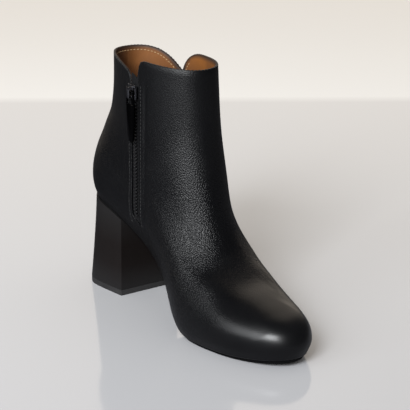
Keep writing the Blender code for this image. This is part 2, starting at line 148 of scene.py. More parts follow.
# Where the finish and the lining's painted shade change: from and to, in metres along an axis. The rim is
# full over a share of its width
TOE_GRAIN = (-0.09, -0.03)
TOE_GLOSS = (-0.095, -0.035)
TOE_COAT = (-0.1, -0.03)
SHAFT_TOP = (0.10, 0.16)
LINING_SHADE_TOP = (0.155, 0.19)
LINING_SHADE_ZIP_SIDE = (-0.006, 0.014)
HEEL_FOOT = (0.006, 0.024)
HEEL_HEAD = (0.040, 0.066)
RIM_FULL = 0.55

# Stage: where the floor and its painted light change, along y with a share of x, and the wall's soft edges in
# reflections
FLOOR_HALF = 6.0
FLOOR_SLANT = 0.7
FLOOR_PAINTED_LIGHT_RUN = (-0.2, 0.85)
FLOOR_EDGE = (0.85, 0.89)
HIDDEN_SLANT = 0.45
HIDDEN_RUN = (0.05, 0.2)
WALL_FACING = (0.4, 0.6)
WALL_TOP = (0.85, 0.95)
WALL_SIDE = (-0.015, 0.045)
SENSOR_MM = 36.0

# Soft lights, each with the setting that holds its power
Lamp = namedtuple("Lamp", "name power place size tint")
LAMPS = [
    Lamp("side light", "key_power", (-1.12, -0.80, 0.95), (0.6, 0.7), (0.96, 0.98, 1.0)),
    Lamp("window light", "window_power", (-1.4, -0.2, 0.75), (1.1, 0.8), (0.95, 0.975, 1.0)),
]


# Settings

def length(name, description, default):
    """A length property."""
    return FloatProperty(name=name, description=description, default=default, unit="LENGTH")


def colour(name, description, default):
    """A colour property."""
    return FloatVectorProperty(
        name=name, description=description, default=(*default, 1.0), size=4, subtype="COLOR", min=0, max=1)


def vector(name, description, subtype, default):
    """A property for a place or a direction."""
    return FloatVectorProperty(name=name, description=description, default=default, subtype=subtype)


class BootShape(PropertyGroup):
    """Sizes of the boot's finer forms"""

    upper_levels: IntProperty(
        name="Upper subdivisions", description="How often the upper's faces are halved",
        default=2, min=1, max=2)
    crease_amount: FloatProperty(
        name="Creases", description="Share of the creases' full depth",
        default=1.0, subtype="FACTOR", min=0, max=2)
    slot_half: length(
        "Half zip slot", "From the zip's middle to the leather's edge", TAPE_HIGH.y - ZIP_Y + 0.3 * MM)
    flange_width: length("Zip flange", "Width of the folded leather beside the zip", 6.4 * MM)
    flange_rise: length("Flange rise", "How far the folded leather stands up", 0.45 * MM)
    rim_width: length("Rim", "Width of the dark edge of the lining at the back", 2.5 * MM)
    rim_front: length("Rim in front", "Width of the dark edge of the lining in front", 1.3 * MM)
    stitch_pitch: length("Stitch pitch", "From one stitch to the next", 2.7 * MM)
    stitch_length: length("Stitch length", "Seen length of one stitch", 2.1 * MM)
    thread: length("Thread", "Width of the sewing thread", 0.65 * MM)
    stitch_inset: length("Stitch inset", "From the leather's edge to the row of stitches", 2.7 * MM)
    tooth_pitch: length("Tooth pitch", "From tooth to tooth on one side of the zip", 2.6 * MM)
    tooth_width: length("Tooth width", "Reach of one tooth across the zip", 2.7 * MM)
    tooth_height: length("Tooth height", "From a tooth's foot to its top", 1.7 * MM)
    tooth_rise: length("Tooth rise", "From the tape to the middle of a tooth", 0.9 * MM)
    tooth_round: length("Tooth edge", "Rounding of a tooth's edges", 0.3 * MM)
    tooth_offset: length("Tooth offset", "From the zip's middle to the middle of a tooth", 0.95 * MM)
    tread_pitch: length("Tread pitch", "From rib to rib under the sole", 2.4 * MM)
    heel_round: length("Heel edge", "Rounding of the heel's edges", 0.7 * MM)
    tip_round: length("Tip edge", "Rounding of the heel tip's edges", 0.35 * MM)
    sole_round: length("Sole edge", "Rounding of the sole's edges", 0.6 * MM)
    metal_round: length("Metal edge", "Rounding of the slider and the pull tab", 0.4 * MM)


class BootFinish(PropertyGroup):
    """Colours and grain of the boot's materials"""

    leather: colour("Leather", "Black leather of the upper", (0.0012, 0.0013, 0.0017))
    leather_worn: colour(
        "Leather, lighter", "Where the leather is stretched or rubbed", (0.0026, 0.0027, 0.0032))
    lining: colour("Lining", "Tan leather lining", (0.24, 0.086, 0.015))
    lining_dark: colour("Lining, darker", "Handled parts of the lining", (0.16, 0.055, 0.009))
    # Painted shade in the lining down in the shaft and on the zip's side; also the darker fibres of the raw
    # edge
    lining_shade_and_edge_fibre: colour(
        "Lining, deep", "Lining down in the shaft and on the zip's side", (0.045, 0.014, 0.003))
    raw_edge: colour("Raw edge", "Cut edge of the lining at the collar", (0.014, 0.008, 0.005))
    heel: colour("Heel", "Covered heel block, its top and its foot", (0.0110, 0.0102, 0.0102))
    heel_warm: colour("Heel, warmer", "Browner middle of the heel", (0.0050, 0.0030, 0.0024))
    rubber: colour("Rubber", "Sole and its edge", (0.0022, 0.0022, 0.0024))
    tip: colour("Heel tip", "Rubber tip of the heel", (0.0150, 0.0145, 0.0148))
    zip_black: colour("Zip", "Tape and teeth", (0.0045, 0.0045, 0.0050))
    thread_black: colour("Dark thread", "Stitches in the black leather", (0.0065, 0.0065, 0.0070))
    thread_tan: colour("Tan thread", "Stitches in the lining", (0.44, 0.28, 0.13))
    metal: colour("Slider", "Plated metal of the slider", (0.34, 0.34, 0.36))
    pull: colour("Pull tab", "Enamelled metal of the pull tab", (0.008, 0.008, 0.009))
    grain_size: FloatProperty(name="Grain", description="Pebbles to a metre", default=980.0, min=100)
    grain_depth: length("Grain depth", "Height of the leather's pebbles", 0.16 * MM)


class BootStage(PropertyGroup):
    """Camera, lights and floor"""

    camera_place: vector("Camera", "Where the camera stands", "TRANSLATION", (-0.5740, -0.83625, 0.4070))
    camera_aim: vector("Aim", "Point in the middle of the picture", "TRANSLATION", (-0.0035, -0.0150, 0.0925))
    camera_roll: FloatProperty(
        name="Roll", description="Lean of the camera to the side",
        default=math.radians(-0.2), subtype="ANGLE")
    camera_lens: FloatProperty(name="Lens", description="Focal length in millimetres", default=126.0, min=1)
    # Painted light on the floor: darker in front as painted shade, lighter towards its far edge and past it
    # as painted light; past the edge lies the warmer ground behind
    floor_front_painted_shade: colour("Floor in front", "Pale floor, cooler in front", (0.40, 0.402, 0.418))
    floor_edge_painted_light: colour(
        "Floor at its edge", "Pale floor, lighter towards its far edge", (0.75, 0.754, 0.768))
    ground_behind_painted_light: colour("Floor behind", "Pale ground behind the edge, warmer", (0.97, 0.98, 0.98))
    floor_mirrored: colour(
        "Floor in reflections", "Share of the floor's light that shows in the leather", (0.36, 0.36, 0.38))
    floor_hidden: colour(
        "Floor behind in reflections", "Share of it from behind the boot", (0.10, 0.10, 0.11))
    sky: colour("Surround", "Soft light from all round", (0.58, 0.565, 0.54))
    sky_dark: colour(
        "Surround in reflections", "The darker room that shows in the leather", (0.045, 0.045, 0.05))
    sky_wall: colour(
        "Wall in reflections", "The warm wall behind that shows on the vamp", (0.92, 0.81, 0.69))
    wall_way: vector("Way to the wall", "Direction of the wall behind", "DIRECTION", (0.70, 0.714, 0.0))
    wall_edge: vector(
        "Edge of the wall", "Level direction square to the wall's upright near edge",
        "DIRECTION", (-0.5, 0.866, 0.0))
    sky_strength: FloatProperty(
        name="Surround strength", description="Light from all round", default=1.0, min=0)
    key_power: FloatProperty(
        name="Side light", description="Soft light on the zip's side", default=34.0, unit="POWER")
    window_power: FloatProperty(
        name="Window", description="Wide dim light on the zip's side", default=11.0, unit="POWER")


# Meshes

def linked(name, data):
    """A new object for a mesh, a light or a camera, in the scene."""
    obj = bpy.data.objects.new(name, data)
    bpy.context.scene.collection.objects.link(obj)
    return obj


def merged_copy(node):
    """A node's mesh as a bmesh with its corners joined."""
    bm = bmesh.new()
    bm.from_mesh(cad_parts[node].data)
    bmesh.ops.remove_doubles(bm, verts=bm.verts, dist=SAME_POINT)
    return bm


def to_quads(bm):
    """Joins the triangles in pairs, the flat and square ones first."""
    for bend, skew in ((25, 40), (50, 75), (70, 180)):
        left = [f for f in bm.faces if len(f.verts) == 3]
        bmesh.ops.join_triangles(
            bm, faces=left, angle_face_threshold=math.radians(bend), angle_shape_threshold=math.radians(skew))


def sharp_edges(bm, degrees):
    """Edges between two faces that turn by more than an angle."""
    limit = math.radians(degrees)
    return [e for e in bm.edges if len(e.link_faces) == 2 and e.calc_face_angle() > limit]


def round_edges(bm, edges, width, segments=2):
    """Bevels edges."""
    bmesh.ops.bevel(
        bm, geom=edges, offset=width, offset_type="OFFSET", segments=segments, profile=0.5,
        affect="EDGES", clamp_overlap=True, material=-1)


def to_object(name, bm, *materials):
    """A finished smooth object from a bmesh."""
    bmesh.ops.recalc_face_normals(bm, faces=bm.faces)
    mesh = bpy.data.meshes.new(name)
    bm.to_mesh(mesh)
    bm.free()
    for face in mesh.polygons:
        face.use_smooth = True
    for material in materials:
        mesh.materials.append(material)
    return linked(name, mesh)


def subdivide(obj, levels, apply=False):
    """Adds a Subdivision Surface, or applies it."""
    modifier = obj.modifiers.new("Smooth form", "SUBSURF")
    modifier.levels = levels
    modifier.render_levels = levels
    if not apply:
        return
    graph = bpy.context.evaluated_depsgraph_get()
    done = bpy.data.meshes.new_from_object(obj.evaluated_get(graph))
    obj.modifiers.clear()
    old = obj.data
    obj.data = done
    bpy.data.meshes.remove(old)
    done.name = obj.name


def carry(obj, body, slot, *nodes):
    """Sets what a piece rides on and hides the nodes that it stands for; the record slot is not used."""
    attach(obj, body)
    if nodes:
        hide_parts(*nodes)


def smooth_patches(bm, degrees):
    """Faces in groups within which no edge is sharp, the largest group first."""
    limit = math.radians(degrees)
    seen = set()
    patches = []
    for first in bm.faces:
        if first in seen:
            continue
        seen.add(first)
        patch = [first]
        for face in patch:
            for edge in face.edges:
                if len(edge.link_faces) != 2 or edge.calc_face_angle() > limit:
                    continue
                for other in edge.link_faces:
                    if other not in seen:
                        seen.add(other)
                        patch.append(other)
        patches.append(patch)
    return sorted(patches, key=lambda patch: -sum(face.calc_area() for face in patch))


def surface(obj, *kinds):
    """A search tree over an object's faces, or over those of some materials."""
    mesh = obj.data
    faces = [tuple(p.vertices) for p in mesh.polygons if not kinds or p.material_index in kinds]
    return BVHTree.FromPolygons([v.co for v in mesh.vertices], faces)


def vertex_rows(mesh, key):
    """The places or normals of a mesh's vertices, a row for each."""
    rows = np.empty(3 * len(mesh.vertices))
    mesh.vertices.foreach_get(key, rows)
    return rows.reshape(-1, 3)


def place_vertices(mesh, rows):
    """Moves a mesh's vertices to new places."""
    mesh.vertices.foreach_set("co", rows.ravel())
    mesh.update()


def vertices_of(mesh, kind):
    """Marks the vertices of the faces of one material."""
    found = np.zeros(len(mesh.vertices), bool)
    for face in mesh.polygons:
        if face.material_index == kind:
            found[list(face.vertices)] = True
    return found


def smooth_step(value, low, high):
    """0 below low, 1 above high, smooth between."""
    t = np.clip((value - low) / (high - low), 0.0, 1.0)
    return t * t * (3 - 2 * t)


def dense_line(points, step):
    """Points at even steps along straight runs between points."""
    points = [Vector(p) for p in points]
    line = [points[0]]
    for a, b in zip(points, points[1:]):
        count = max(1, math.ceil((b - a).length / step))
        line += [a.lerp(b, (k + 1) / count) for k in range(count)]
    return line


def curve_through(points, count):
    """A smooth line through a few points."""
    points = [Vector(p) for p in points]
    ends = [2 * points[0] - points[1], *points, 2 * points[-1] - points[-2]]
    line = []
    for k in range(count):
        u = (len(points) - 1) * k / (count - 1)
        i = min(int(u), len(points) - 2)
        t = u - i
        a, b, c, d = ends[i:i + 4]
        line.append(0.5 * (2 * b + (c - a) * t + (2 * a - 5 * b + 4 * c - d) * t ** 2
                           + (3 * b - a - 3 * c + d) * t ** 3))
    return line


Place = namedtuple("Place", "at along out")


def laid_on(tree, points, pitch):
    """Even places along a line that is set down on a surface, each with its way along and outward."""
    on = [tree.find_nearest(p)[0] for p in dense_line(points, LAY_STEP)]
    run = np.concatenate([[0.0], np.cumsum([(b - a).length for a, b in zip(on, on[1:])])])
    count = max(1, int(run[-1] / pitch))
    xyz = np.array([tuple(p) for p in on])
    places = []
    for k in range(count):
        at = (k + 0.5) * run[-1] / count
        before, here, after = (
            Vector([np.interp(at + shift, run, xyz[:, axis]) for axis in range(3)])
            for shift in (-pitch / 3, 0, pitch / 3))
        spot, out, _, _ = tree.find_nearest(here)
        along = (after - before).normalized()
        along = (along - out * along.dot(out)).normalized()
        places.append(Place(spot, along, out))
    return places


def stamp(bm, shape, place):
    """Adds a small mesh to a bmesh at a place."""
    before = len(bm.verts)
    bm.from_mesh(shape)
    bm.verts.ensure_lookup_table()
    bmesh.ops.transform(bm, matrix=place, verts=bm.verts[before:])


def turned(at, along, across, out):
    """A matrix with x along, y across and z outward."""
    return Matrix.Translation(at) @ Matrix((along, across, out)).transposed().to_4x4()


def small_mesh(bm):
    """A mesh to stamp, from a bmesh."""
    mesh = bpy.data.meshes.new("small shape")
    bm.to_mesh(mesh)
    bm.free()
    return mesh


# Shader nodes

MIX_SHARE, MIX_LOW, MIX_HIGH, MIX_RESULT = 0, 6, 7, 2


def feed(tree, socket, source):
    """Gives a socket another node's output or a value of its own."""
    if isinstance(source, bpy.types.NodeSocket):
        tree.links.new(source, socket)
    else:
        socket.default_value = source


def add(tree, kind, at, sockets=(), **settings):
    """A node with its settings, and with values or other nodes' outputs in its sockets."""
    node = tree.nodes.new(kind)
    node.location = at
    for key, value in settings.items():
        setattr(node, key, value)
    for key, source in dict(sockets).items():
        feed(tree, node.inputs[key], source)
    return node


def axes(tree, at, where):
    """The x, y and z of coordinates."""
    return add(tree, "ShaderNodeSeparateXYZ", at, {0: where}).outputs


def maths(tree, at, operation, *terms, **settings):
    """One operation on values or other nodes' outputs."""
    sockets = dict(enumerate(terms))
    return add(tree, "ShaderNodeMath", at, sockets, operation=operation, **settings).outputs[0]


def ranged(tree, at, value, low, high, source=(0.0, 1.0)):
    """A value mapped to a range."""
    return add(tree, "ShaderNodeMapRange", at, {
        "Value": value, "From Min": source[0], "From Max": source[1],
        "To Min": low, "To Max": high}).outputs[0]


def blended(tree, at, share, low, high, **settings):
    """A mix of two colours."""
    sockets = {MIX_SHARE: share, MIX_LOW: low, MIX_HIGH: high}
    return add(tree, "ShaderNodeMix", at, sockets, data_type="RGBA", **settings).outputs[MIX_RESULT]


def bump(tree, at, height, distance):
    """A normal that follows a height."""
    sockets = {"Strength": 1.0, "Distance": distance, "Height": height}
    return add(tree, "ShaderNodeBump", at, sockets).outputs[0]


def scaled(tint, share):
    """A colour made lighter or darker."""
    return (*(share * part for part in tint[:3]), 1.0)


# Shader groups

def pebbled(tree, given):
    """Leather grain: rounded cells with fine valleys between them, and a finer grain on top."""
    waver = add(tree, "ShaderNodeTexNoise", (-700, -200), {
        "Vector": given["Vector"], "Scale": 420.0, "Detail": 2.0})
    centred = add(tree, "ShaderNodeVectorMath", (-520, -200), {
        0: waver.outputs["Color"], 1: (0.5, 0.5, 0.5)}, operation="SUBTRACT")
    moved = add(tree, "ShaderNodeVectorMath", (-350, -100), {
        0: centred.outputs[0], 1: given["Waver"], 2: given["Vector"]}, operation="MULTIPLY_ADD")
    spread = {"Vector": moved.outputs[0], "Scale": given["Pebbles"]}
    cells = add(
        tree, "ShaderNodeTexVoronoi", (-150, 100), {**spread, "Smoothness": 0.25}, feature="SMOOTH_F1")
    seams = add(tree, "ShaderNodeTexVoronoi", (-150, -200), spread, feature="DISTANCE_TO_EDGE")
    dome = ranged(tree, (60, 100), cells.outputs["Distance"], 0.0, 1.0, (0.75, 0.1))
    valley = ranged(tree, (60, -200), seams.outputs["Distance"], 0.0, 1.0, (0.16, 0.0))
    fine = add(tree, "ShaderNodeTexNoise", (-150, 350), {
        "Vector": given["Vector"], "Scale": maths(tree, (-330, 350), "MULTIPLY", given["Pebbles"], 2.6),
        "Detail": 3.0, "Roughness": 0.6})
    lower = maths(tree, (260, 0), "MULTIPLY_ADD", valley, -0.3, dome)
    return maths(tree, (480, 100), "MULTIPLY_ADD", fine.outputs["Fac"], given["Fine"], lower)


def cloudy(tree, given):
    """Cloudy variation, from broad patches to small ones."""
    noise = add(tree, "ShaderNodeTexNoise", (-500, 0), {
        "Vector": given["Vector"], "Scale": given["Scale"],
        "Detail": 5.0, "Roughness": 0.55, "Distortion": 0.3})
    centred = maths(tree, (-250, 0), "SUBTRACT", noise.outputs["Fac"], 0.5)
    spread = maths(tree, (-50, 0), "MULTIPLY", centred, 3.0)
    return maths(tree, (150, 0), "MULTIPLY_ADD", spread, given["Contrast"], 0.5, use_clamp=True)


def woven(tree, given):
    """Fine woven cloth: ribs along the height crossed by like threads."""
    _, y, z = axes(tree, (-700, 0), given["Vector"])
    waves = [
        maths(tree, (-300, row), "SINE", maths(tree, (-500, row), "MULTIPLY", way, given["Threads"]))
        for way, row in ((y, 100), (z, -100))]
    crossed = maths(tree, (-100, 0), "MULTIPLY", *waves)
    return maths(tree, (100, 0), "MULTIPLY_ADD", crossed, 0.5, 0.5)


# A group takes coordinates and named values and puts out one value
Pattern = namedtuple("Pattern", "name values output build")
GRAIN = Pattern("Pebbled grain", {"Pebbles": 950.0, "Waver": 0.00012, "Fine": 0.12}, "Height", pebbled)
MOTTLING = Pattern("Mottling", {"Scale": 40.0, "Contrast": 0.6}, "Mask", cloudy)
WEAVE = Pattern("Woven tape", {"Threads": 1800.0}, "Height", woven)


def new_group(pattern):
    """The shader group of a pattern."""
    tree = bpy.data.node_groups.new(pattern.name, "ShaderNodeTree")
    tree.interface.new_socket("Vector", in_out="INPUT", socket_type="NodeSocketVector")
    for label, default in pattern.values.items():
        socket = tree.interface.new_socket(label, in_out="INPUT", socket_type="NodeSocketFloat")
        socket.default_value = default
    tree.interface.new_socket(pattern.output, in_out="OUTPUT", socket_type="NodeSocketFloat")
    given = add(tree, "NodeGroupInput", (-900, 0)).outputs
    add(tree, "NodeGroupOutput", (900, 0), {pattern.output: pattern.build(tree, given)})
    return tree


def grouped(tree, pattern, at, where, **values):
    """The output of a pattern's group, which is built once and placed with its own values."""
    group = bpy.data.node_groups.get(pattern.name) or new_group(pattern)
    return add(tree, "ShaderNodeGroup", at, {"Vector": where, **values}, node_tree=group).outputs[0]


# Materials

def dress(tree, shader, **sources):
    """Feeds the shader's sockets."""
    for key, source in sources.items():
        feed(tree, shader.inputs[key.replace("_", " ")], source)


def new_material(name, **shader_values):
    """A material with a Principled shader and Object coordinates: material, tree, shader, coordinates."""
    material = bpy.data.materials.new(name)
    material.use_nodes = True
    tree = material.node_tree
    tree.nodes.clear()
    shader = add(tree, "ShaderNodeBsdfPrincipled", (700, 0))
    dress(tree, shader, **shader_values)
    add(tree, "ShaderNodeOutputMaterial", (1000, 0), {"Surface": shader.outputs[0]})
    return material, tree, shader, add(tree, "ShaderNodeTexCoord", (-1100, 0)).outputs["Object"]


def one_pattern(name, pattern, values, colours, roughness, depth, **shader_values):
    """A material whose colour, roughness and bump follow one pattern."""
    material, tree, shader, where = new_material(name, **shader_values)
    mask = grouped(tree, pattern, (-700, 0), where, **values)
    dress(tree, shader,
          Base_Color=blended(tree, (250, 200), mask, *colours),
          Roughness=ranged(tree, (250, -50), mask, *roughness),
          Normal=bump(tree, (300, -300), mask, depth))
    return material


def black_leather(finish):
    """Pebbled black leather, smooth and polished over the toe, calmer and duller at the shaft's top."""
    material, tree, shader, where = new_material(
        "black pebbled leather", IOR=1.5, Specular_IOR_Level=0.3, Coat_Roughness=0.28, Coat_IOR=1.45)
    grain = grouped(tree, GRAIN, (-700, -200), where, Pebbles=finish.grain_size)
    clouds = grouped(tree, MOTTLING, (-700, 200), where, Scale=28.0, Contrast=0.7)
    _, y, z = axes(tree, (-900, -450), where)
    plain = ranged(tree, (-450, -450), y, 0.07, 1.0, TOE_GRAIN)
    calm = ranged(tree, (-450, -650), z, 1.0, 0.45, SHAFT_TOP)
    height = maths(tree, (0, -300), "MULTIPLY", grain, maths(tree, (-200, -450), "MULTIPLY", plain, calm))
    gloss = ranged(tree, (-200, -50), clouds, 0.27, 0.33)
    toe = ranged(tree, (-450, -850), y, 1.12, 1.0, TOE_GLOSS)
    shaft = ranged(tree, (-450, -1050), z, 1.0, 1.35, SHAFT_TOP)
    dress(tree, shader,
          Base_Color=blended(tree, (200, 200), clouds, finish.leather, finish.leather_worn),
          Roughness=maths(tree, (200, -50), "MULTIPLY", gloss,
                          maths(tree, (0, -150), "MULTIPLY", toe, shaft)),
          Coat_Weight=ranged(tree, (200, -700), y, 0.22, 0.0, TOE_COAT),
          Normal=bump(tree, (300, -300), height, finish.grain_depth))
    return material


def tan_lining(finish):
    """Smooth tan lining leather with faint pores and handling marks, a dark edge at the collar, and painted
    shade down in the shaft and on the zip's side.
    """
    material, tree, shader, where = new_material("tan lining leather", IOR=1.45)
    grain = grouped(tree, GRAIN, (-700, -200), where, Pebbles=1700.0, Fine=0.5)
    clouds = grouped(tree, MOTTLING, (-700, 200), where, Scale=55.0, Contrast=0.8)
    x, _, z = axes(tree, (-900, -450), where)
    # Painted shade: darker lower in the shaft and towards the zip's side of the inner wall, where the light
    # doesn't reach
    down = ranged(tree, (-450, 500), z, 1.0, 0.0, LINING_SHADE_TOP)
    shade_inward = ranged(tree, (-450, 700), x, 0.92, 0.0, LINING_SHADE_ZIP_SIDE)
    deep = maths(tree, (-200, 600), "MAXIMUM", down, shade_inward)
    rim = add(tree, "ShaderNodeAttribute", (250, 600), attribute_name="rim").outputs["Fac"]
    handled = blended(tree, (0, 200), clouds, finish.lining, finish.lining_dark)
    shaded = blended(tree, (250, 300), deep, handled, finish.lining_shade_and_edge_fibre)
    dress(tree, shader,
          Base_Color=blended(tree, (450, 300), rim, shaded, finish.raw_edge),
          Roughness=ranged(tree, (200, -50), clouds, 0.55, 0.7),
          Normal=bump(tree, (300, -300), grain, 0.05 * MM))
    return material


def raw_edge(finish):
    """Cut leather edge, dark and fibrous."""
    return one_pattern(
        "raw leather edge", MOTTLING, {"Scale": 900.0, "Contrast": 1.0},
        (finish.raw_edge, finish.lining_shade_and_edge_fibre), roughness=(0.6, 0.8), depth=0.06 * MM, IOR=1.4)


def heel_cover(finish):
    """Smooth dark brown heel cover, warmer in the middle of its height."""
    material, tree, shader, where = new_material(
        "smooth heel cover", IOR=1.5, Coat_Roughness=0.3, Specular_IOR_Level=0.25)
    clouds = grouped(tree, MOTTLING, (-700, 200), where, Scale=45.0, Contrast=0.5)
    fine = grouped(tree, GRAIN, (-700, -200), where, Pebbles=1500.0, Fine=0.4)
    _, _, z = axes(tree, (-900, -450), where)
    above_foot = ranged(tree, (-450, -450), z, 0.0, 1.0, HEEL_FOOT)
    below_head = ranged(tree, (-450, -650), z, 1.0, 0.0, HEEL_HEAD)
    middle = maths(tree, (-200, -500), "MULTIPLY", above_foot, below_head)
    warm = maths(tree, (0, 0), "MULTIPLY", middle, ranged(tree, (-200, 0), clouds, 0.75, 1.0))
    dress(tree, shader,
          Base_Color=blended(tree, (250, 200), warm, finish.heel, finish.heel_warm),
          Roughness=ranged(tree, (250, -50), clouds, 0.4, 0.52),
          Coat_Weight=ranged(tree, (250, -250), clouds, 0.12, 0.04),
          Normal=bump(tree, (300, -400), fine, 0.02 * MM))
    return material


def sole_rubber(name, tint, shine=0.5, tread=0.0):
    """Dark rubber with a fine moulded texture, and with fine ribs across where it has a tread."""
    material, tree, shader, where = new_material(name, IOR=1.5, Specular_IOR_Level=shine)
    clouds = grouped(tree, MOTTLING, (-700, 200), where, Scale=90.0, Contrast=0.8)
    height = grouped(tree, MOTTLING, (-700, -100), where, Scale=1600.0, Contrast=0.9)
    if tread:
        _, y, _ = axes(tree, (-900, -450), where)
        turn = maths(tree, (-700, -450), "MULTIPLY", y, 2 * math.pi / tread)
        wave = maths(tree, (-500, -450), "SINE", turn)
        ribs = ranged(tree, (-300, -450), wave, 0.0, 1.0, (-0.6, 0.6))
        height = maths(tree, (0, -300), "MULTIPLY_ADD", ribs, 4.0, height)
    dress(tree, shader,
          Base_Color=blended(tree, (250, 200), clouds, tint, scaled(tint, 1.7)),
          Roughness=ranged(tree, (250, -50), clouds, 0.5, 0.66),
          Normal=bump(tree, (300, -300), height, 0.05 * MM))
    return material


def zip_cloth(finish):
    """Woven black tape."""
    return one_pattern(
        "woven zip tape", WEAVE, {"Threads": 5200.0}, (finish.zip_black, scaled(finish.zip_black, 2.2)),
        roughness=(0.85, 0.7), depth=0.12 * MM, IOR=1.4, Specular_IOR_Level=0.2)


def zip_nylon(finish):
    """Moulded black teeth, a little polished on top."""
    return one_pattern(
        "moulded zip teeth", MOTTLING, {"Scale": 700.0, "Contrast": 0.7},
        (finish.zip_black, scaled(finish.zip_black, 1.8)),
        roughness=(0.28, 0.42), depth=0.02 * MM, IOR=1.5)


def thread(name, tint):
    """Twisted sewing thread."""
    return one_pattern(
        name, MOTTLING, {"Scale": 3000.0, "Contrast": 1.0}, (tint, scaled(tint, 0.65)),
        roughness=(0.5, 0.68), depth=0.05 * MM, IOR=1.45, Sheen_Weight=0.15)


def dark_metal(name, tint):
    """Plated or enamelled metal with faint handling marks."""
    return one_pattern(
        name, MOTTLING, {"Scale": 260.0, "Contrast": 0.8}, (tint, scaled(tint, 0.6)),
        roughness=(0.07, 0.15), depth=0.01 * MM, Metallic=1.0)


def pale_floor(stage):
    """Pale polished floor: cooler and darker in front as painted shade, warmer and lighter towards and past
    its far edge as painted light, and dimmer where the leather mirrors it.
    """
    material, tree, shader, where = new_material("pale floor", IOR=1.5)
    clouds = grouped(tree, MOTTLING, (-700, 0), where, Scale=1.5, Contrast=0.4)
    x, y, _ = axes(tree, (-700, -300), where)
    mirrored = add(tree, "ShaderNodeLightPath", (0, 600)).outputs["Is Glossy Ray"]
    # Painted light: the floor's colour runs from painted shade in front to painted light at its far edge and
    # past it
    depth = maths(tree, (-500, 300), "MULTIPLY_ADD", x, FLOOR_SLANT, y)
    along = ranged(tree, (-300, 400), depth, 0.0, 1.0, FLOOR_PAINTED_LIGHT_RUN)
    past_edge = ranged(tree, (-300, 200), depth, 0.0, 1.0, FLOOR_EDGE)
    near = blended(tree, (-100, 300), along, stage.floor_front_painted_shade, stage.floor_edge_painted_light)
    floor_with_painted_light = blended(tree, (100, 300), past_edge, near, stage.ground_behind_painted_light)
    beside = maths(tree, (-500, 0), "MULTIPLY_ADD", x, HIDDEN_SLANT, y)
    behind = ranged(tree, (-300, 0), beside, 0.0, 1.0, HIDDEN_RUN)
    share = blended(tree, (100, 0), behind, stage.floor_mirrored, stage.floor_hidden)
    dress(tree, shader,
          Base_Color=blended(tree, (350, 300), mirrored, floor_with_painted_light, share, blend_type="MULTIPLY"),
          Roughness=ranged(tree, (250, -50), clouds, 0.07, 0.09),
          Specular_IOR_Level=ranged(tree, (250, -300), mirrored, 0.65, 0.0))
    return material


def surround(stage):
    """Even light from all round. In reflections only the wall behind the boot is bright."""
    world = bpy.data.worlds.new("surround")
    world.use_nodes = True
    tree = world.node_tree
    way = add(tree, "ShaderNodeTexCoord", (-1300, 0)).outputs["Generated"]
    mirrored = add(tree, "ShaderNodeLightPath", (-400, 400)).outputs["Is Glossy Ray"]
    _, _, z = axes(tree, (-1100, -100), way)
    toward, past = (
        add(tree, "ShaderNodeVectorMath", (-1100, row), {0: way, 1: direction}, operation="DOT_PRODUCT")
        for row, direction in ((100, stage.wall_way), (-300, stage.wall_edge)))
    facing = ranged(tree, (-850, 100), toward.outputs["Value"], 0.0, 1.0, WALL_FACING)
    below_top = ranged(tree, (-850, -100), z, 1.0, 0.0, WALL_TOP)
    past_edge = ranged(tree, (-850, -300), past.outputs["Value"], 0.0, 1.0, WALL_SIDE)
    bounded = maths(tree, (-700, -100), "MULTIPLY", below_top, past_edge)
    wall = maths(tree, (-550, 0), "MULTIPLY", facing, bounded)
    room = blended(tree, (-400, 0), wall, stage.sky_dark, stage.sky_wall)
    dress(tree, tree.nodes["Background"], Strength=stage.sky_strength,
          Color=blended(tree, (-200, 0), mirrored, stage.sky, room))
    return world


# Upper

def sort_wall(bm):
    """Marks the leather, the raw collar edge and the lining, and keeps the wall's edges firm."""
    patches = smooth_patches(bm, WALL_BEND)
    outer, inner = set(patches[0]), set(patches[1])
    outer_verts = {v for face in outer for v in face.verts}
    inner_verts = {v for face in inner for v in face.verts}
    crease = bm.edges.layers.float.new("crease_edge")
    for edge in bm.edges:
        sides = [face in outer or face in inner for face in edge.link_faces]
        if len(sides) == 2 and sides[0] != sides[1]:
            edge[crease] = EDGE_FIRMNESS
    across = [e for e in bm.edges if sum(v in outer_verts for v in e.verts) == 1
              and sum(v in inner_verts for v in e.verts) == 1]
    bmesh.ops.subdivide_edges(bm, edges=across, cuts=1, use_grid_fill=True)
    for face in bm.faces:
        if face in inner:
            face.material_index = LINING
            continue
        face.material_index = LEATHER
        by_lining = any(other in inner for edge in face.edges for other in edge.link_faces)
        if face not in outer and by_lining and face.calc_center_median().z > CHAIN_HIGH.z:
            face.material_index = RAW_EDGE


def press(upper, marks, kind, amount=1.0):
    """Presses creases into the leather or the lining along its normals. They fade out at their ends."""
    mesh = upper.data
    tree = surface(upper, kind)
    xyz, normals = vertex_rows(mesh, "co"), vertex_rows(mesh, "normal")
    index = np.nonzero(vertices_of(mesh, kind))[0]
    last = CREASE_POINTS - 1
    move = np.zeros(len(xyz))
    for mark in marks:
        points = curve_through(mark.points, CREASE_POINTS)
        line = np.array([tuple(tree.find_nearest(p * MM)[0]) for p in points])
        gap = np.linalg.norm(xyz[index, None, :] - line[None, :, :], axis=2)
        nearest = gap.argmin(1)
        fade = np.minimum(1.0, FADE_RATE * np.minimum(nearest, last - nearest) / last + FADE_LEAST)
        move[index] += amount * mark.depth * MM * fade * np.exp(-(gap.min(1) / (mark.width * MM)) ** 2)
    place_vertices(mesh, xyz + normals * move[:, None])


